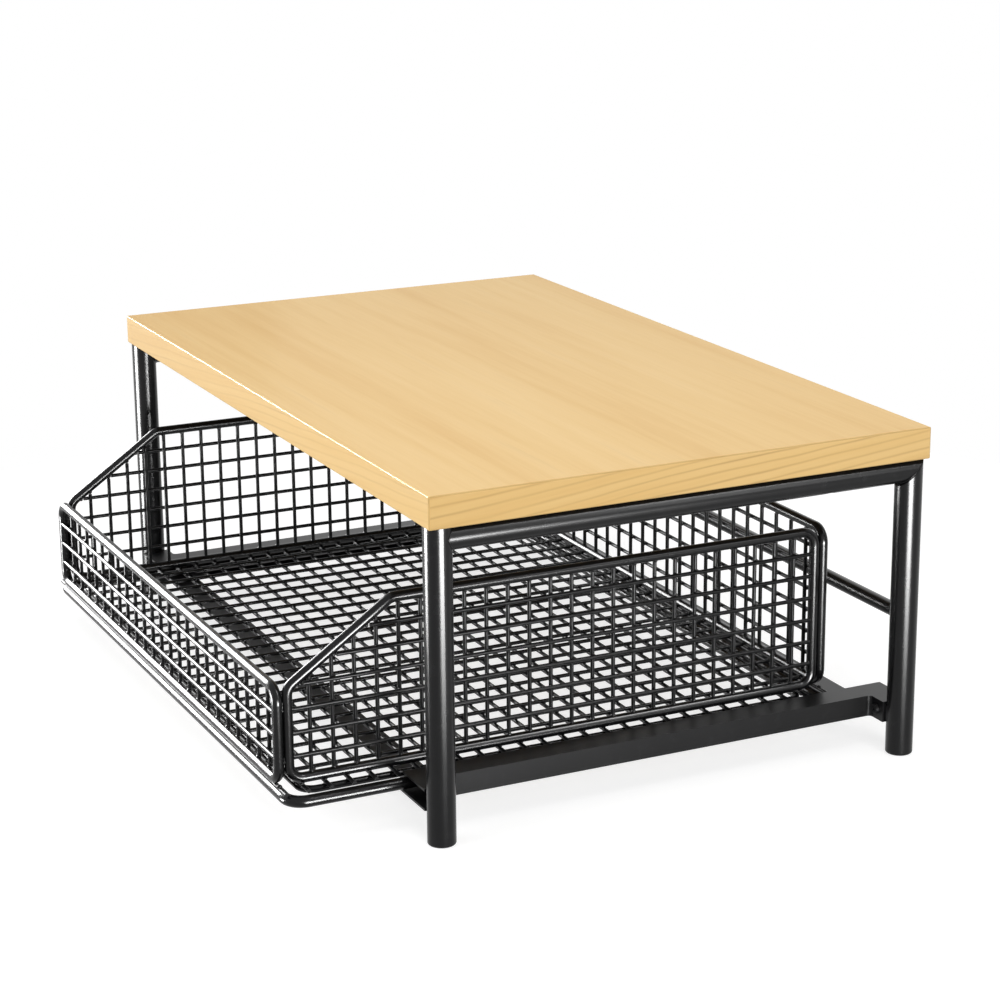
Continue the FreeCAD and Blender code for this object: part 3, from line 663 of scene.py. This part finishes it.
class STAND_OT_basket_welds(bpy.types.Operator):
    """Adds the weld spots where the basket's wires cross and where they meet its rods"""

    bl_idname = "stand.basket_welds"
    bl_label = "Add Basket Welds"

    def execute(self, context):
        size = context.scene.stand_weld.spot_radius
        paint = weld_paint(context.scene)
        b = Basket()
        crossing = np.array([size, size, size]) * CROSSING_SIZE
        reach = SPOT_DEPTH * b.rod
        lean = SPOT_LEAN * b.wire

        # side panels: uprights inside the rim's plane, bars outside it
        y = between(b.side_front, b.side_back, SIDE_UPRIGHTS)
        z = between(b.bottom, b.top, SIDE_BARS)
        for name, side in SIDES.items():
            x = side * b.side_x
            all_points = grid_points([x], y, z)
            inside = all_points[:, 2] < b.slope(all_points[:, 1]) - 1.2 * b.rod
            foot = grid_points([x - side * lean], y, [b.bottom + reach])
            head = foot.copy()
            head[:, 2] = b.slope(y) - reach
            bar_x = x + side * lean
            rear = grid_points([bar_x], [b.side_back - reach], z)
            front = rear.copy()
            rise = (b.top - b.front_top) / SLOPE_RUN
            meets = b.side_front + (z - b.front_top) / rise
            slant = math.sqrt(1 + rise**2) / rise
            front[:, 1] = np.maximum(b.side_front, meets + b.rod * (slant - 1)) + reach
            shapes = [
                spots(all_points[inside], crossing, 3),
                spots(foot, (size, size, 0.8 * size), 5),
                spots(head, (size, size, size), 7),
                spots(np.vstack([rear, front]), (size, 0.9 * size, size), 9),
            ]
            piece(f"side_welds_{name}", shapes, paint, "drawer", "basket")

        # front and rear panels
        for name, y, top, bars, end in (
            ("front", b.front, b.front_top, FRONT_BARS, -1),
            ("rear", b.back, b.top, SIDE_BARS, 1),
        ):
            z = between(b.bottom, top, bars)
            feet = grid_points(b.end_x, [y - end * lean], [b.bottom + reach, top - reach])
            ends = grid_points([reach - b.side_x, b.side_x - reach], [y + end * lean], z)
            shapes = [
                spots(grid_points(b.end_x, [y], z), crossing, 11),
                spots(feet, (size, size, 0.8 * size), 13),
                spots(ends, (0.8 * size, size, size), 15),
            ]
            piece(f"{name}_welds", shapes, paint, "drawer", "basket")

        # floor: the wires' crossings, the cross wires under the side rims and on the floor
        # rim, and the long wires' ends
        on_top = b.cross_z + b.wire
        under = b.cross_z - b.wire
        inner_y = b.cross_y[1:-1]
        sides = grid_points([-b.side_x, b.side_x], b.cross_y, [on_top])
        rims = grid_points([-b.floor_x, b.floor_x], inner_y, [under])
        long_ends = grid_points(b.end_x, [b.front + b.rod, b.back - b.rod], [b.long_z])
        shapes = [
            spots(grid_points(b.end_x, inner_y, [on_top]), crossing, 17),
            spots(sides, (size, size, 0.7 * size), 19),
            spots(rims, (size, size, 0.5 * size), 21),
            spots(long_ends, crossing, 23),
        ]
        piece("floor_welds", shapes, paint, "drawer", "basket")

        # short beads between the end rims' posts and the side rims', inside the corners
        shapes = []
        for y, near, top in ((b.front, 1, b.front_top), (b.back, -1, b.top)):
            for share in CORNER_BEADS:
                middle = b.bottom + (top - b.bottom) * share
                z = np.linspace(middle - CORNER_BEAD_HALF, middle + CORNER_BEAD_HALF, 16)
                path = np.stack([0 * z + b.side_x - 0.35 * b.rod, 0 * z + y + near * b.rod, z], -1)
                shapes += both_sides(bead(path, 0.6 * b.rod, (1, 0, 0)))
        piece("corner_welds", shapes, paint, "drawer", "basket")
        return {"FINISHED"}


def disc(name, radius, z, rings=6, sides=96):
    """A disc on a polar grid, x = r cos u, y = r sin u, with one middle point."""
    r = np.linspace(0, radius, rings + 1)[1:, None]
    u = np.linspace(0, 2 * np.pi, sides, endpoint=False)[None]
    grid = np.stack([r * np.cos(u), r * np.sin(u), z + 0 * (r + u)], -1).reshape(-1, 3)
    index = np.arange(rings * sides).reshape(rings, sides)
    beyond = np.roll(index, -1, 1)
    quads = np.stack([index[:-1], index[1:], beyond[1:], beyond[:-1]], -1).reshape(-1, 4)
    middle = np.full(sides, rings * sides)
    fan = np.stack([middle, index[0], beyond[0]], -1)
    mesh = bpy.data.meshes.new(name)
    mesh.from_pydata(np.vstack([grid, [[0, 0, z]]]).tolist(), [], quads.tolist() + fan.tolist())
    item = bpy.data.objects.new(name, mesh)
    bpy.context.scene.collection.objects.link(item)
    return item


def floor_finish():
    """A pale floor that the camera sees lifted to white, with its shadows kept."""
    r = Recipe(bpy.data.materials.new("pale_floor"))
    matt = r.add("ShaderNodeBsdfDiffuse", inputs={"Color": shade(WHITE, FLOOR_GREY)})
    lifted = r.add("ShaderNodeEmission", inputs={"Strength": r.seen() * FLOOR_LIFT})
    both = r.add("ShaderNodeAddShader", inputs={0: matt, 1: lifted})
    r.add("ShaderNodeOutputMaterial", inputs={"Surface": both})
    return r.owner


def studio_world(strength):
    """A white backdrop to the camera and to reflections, and a dimmer fill light."""
    world = bpy.data.worlds.new("studio")
    bpy.context.scene.world = world
    r = Recipe(world)
    level = r.seen() * (1.0 - strength) + strength
    back = r.add("ShaderNodeBackground", inputs={"Color": WHITE, "Strength": level})
    r.add("ShaderNodeOutputWorld", inputs={"Surface": back})


# name, degrees from the camera's azimuth, distance, height, width, tall, watts, and what it
# lights: matt surfaces, all reflections ("gloss"), or the steel's reflections alone
LAMPS = (
    ("overhead", 0, 0.3, 1.9, 1.8, 1.8, 18.0, "matt"),
    ("front_fill", -64, 2.2, 0.5, 1.4, 1.4, 34.0, "matt"),
    ("right_fill", 25, 2.2, 0.4, 1.4, 1.4, 26.0, "matt"),
    ("right_strip", 26, 1.5, -0.29, 0.7, 0.38, 92.0, "steel"),
    ("left_strip", -86, 1.8, -0.44, 0.7, 0.38, 98.0, "steel"),
    ("far_left", -130, 2.0, 0.35, 0.9, 1.1, 140.0, "gloss"),
    ("high_right", 65, 1.2, 1.2, 0.5, 0.5, 31.0, "steel"),
    ("rail_sheen", 53, 1.5, 0.73, 0.35, 0.86, 5.7, "steel"),
    ("back_sheen", 171, 2.4, 0.9, 1.6, 1.6, 5.0, "gloss"),
)


def keep_off(item, pieces):
    """Keeps a lamp's light off some pieces."""
    group = bpy.data.collections.new(f"unlit_by_{item.name}")
    for each in pieces:
        group.objects.link(each)
    for member in group.collection_objects:
        member.light_linking.link_state = "EXCLUDE"
    item.light_linking.receiver_collection = group


def lamp(name, azimuth, distance, height, width, tall, watts, lights):
    """A rectangular lamp that stands round the stand at an azimuth and faces its middle.
    It lights matt surfaces only, reflections only, or reflections on the steel only."""
    data = bpy.data.lights.new(name, "AREA")
    data.shape = "RECTANGLE"
    data.size, data.size_y = width, tall
    data.energy = watts
    item = bpy.data.objects.new(name, data)
    place = Vector((math.sin(azimuth) * distance, -math.cos(azimuth) * distance, height))
    item.location = place
    item.rotation_euler = (place - LAMP_AIM).to_track_quat("Z", "Y").to_euler()
    item.visible_diffuse = lights == "matt"
    item.visible_glossy = lights != "matt"
    bpy.context.scene.collection.objects.link(item)
    if lights == "steel":
        keep_off(item, [NODES["top_board"]])
    return item


def camera(settings):
    """A camera at its target plus the distance along the azimuth and elevation."""
    a, e, r = settings.azimuth, settings.elevation, settings.roll
    back = Vector((math.sin(a) * math.cos(e), -math.cos(a) * math.cos(e), math.sin(e)))
    level = Vector((math.cos(a), math.sin(a), 0.0))
    upright = back.cross(level)
    right = level * math.cos(r) + upright * math.sin(r)
    up = upright * math.cos(r) - level * math.sin(r)
    data = bpy.data.cameras.new("camera")
    data.sensor_width = 36.0
    data.lens = settings.lens
    eye = bpy.data.objects.new("camera", data)
    turn = Matrix((right, up, back)).transposed().to_4x4()
    eye.matrix_world = Matrix.Translation(Vector(settings.target) + back * settings.distance) @ turn
    bpy.context.scene.collection.objects.link(eye)
    bpy.context.scene.camera = eye


class STAND_OT_stage(bpy.types.Operator):
    """Sets up the floor, the lights and the camera"""

    bl_idname = "stand.stage"
    bl_label = "Set Stage"

    def execute(self, context):
        settings = context.scene.stand_stage
        floor = disc("floor", settings.floor_radius, box("foot_plug_front_left")[0][2] - 0.0005)
        floor.data.materials.append(floor_finish())
        floor.visible_glossy = False  # the paint shows the backdrop in its place
        studio_world(BACKDROP_FILL)
        for name, turn, *rest in LAMPS:
            lamp(name, settings.azimuth + math.radians(turn), *rest)
        camera(settings)
        context.scene.view_settings.view_transform = "Standard"
        return {"FINISHED"}


class STAND_PT_panel(bpy.types.Panel):
    """Lists the stand's operators and settings"""

    bl_idname = "STAND_PT_panel"
    bl_label = "Microwave Stand"
    bl_space_type = "VIEW_3D"
    bl_region_type = "UI"
    bl_category = "Stand"

    def draw(self, context):
        for operator in OPERATORS:
            self.layout.operator(operator.bl_idname)
        for name, group in SETTINGS.items():
            column = self.layout.column()
            for setting in group.__annotations__:
                column.prop(getattr(context.scene, name), setting)


SETTINGS = {
    "stand_wood": StandWoodSettings,
    "stand_metal": StandMetalSettings,
    "stand_weld": StandWeldSettings,
    "stand_stage": StandStageSettings,
}
OPERATORS = (
    STAND_OT_board,
    STAND_OT_steel,
    STAND_OT_glides,
    STAND_OT_frame_welds,
    STAND_OT_basket_welds,
    STAND_OT_stage,
)


def register():
    for group in (*SETTINGS.values(), *OPERATORS, STAND_PT_panel):
        bpy.utils.register_class(group)
    for name, group in SETTINGS.items():
        setattr(bpy.types.Scene, name, bpy.props.PointerProperty(type=group))


def unregister():
    for name in SETTINGS:
        delattr(bpy.types.Scene, name)
    for group in reversed((*SETTINGS.values(), *OPERATORS, STAND_PT_panel)):
        bpy.utils.unregister_class(group)


def main():
    register()
    bpy.ops.stand.board()
    bpy.ops.stand.steel()
    bpy.ops.stand.glides()
    bpy.ops.stand.frame_welds()
    bpy.ops.stand.basket_welds()
    bpy.ops.stand.stage()
    bpy.context.view_layer.update()


if __name__ == "__main__":
    main()
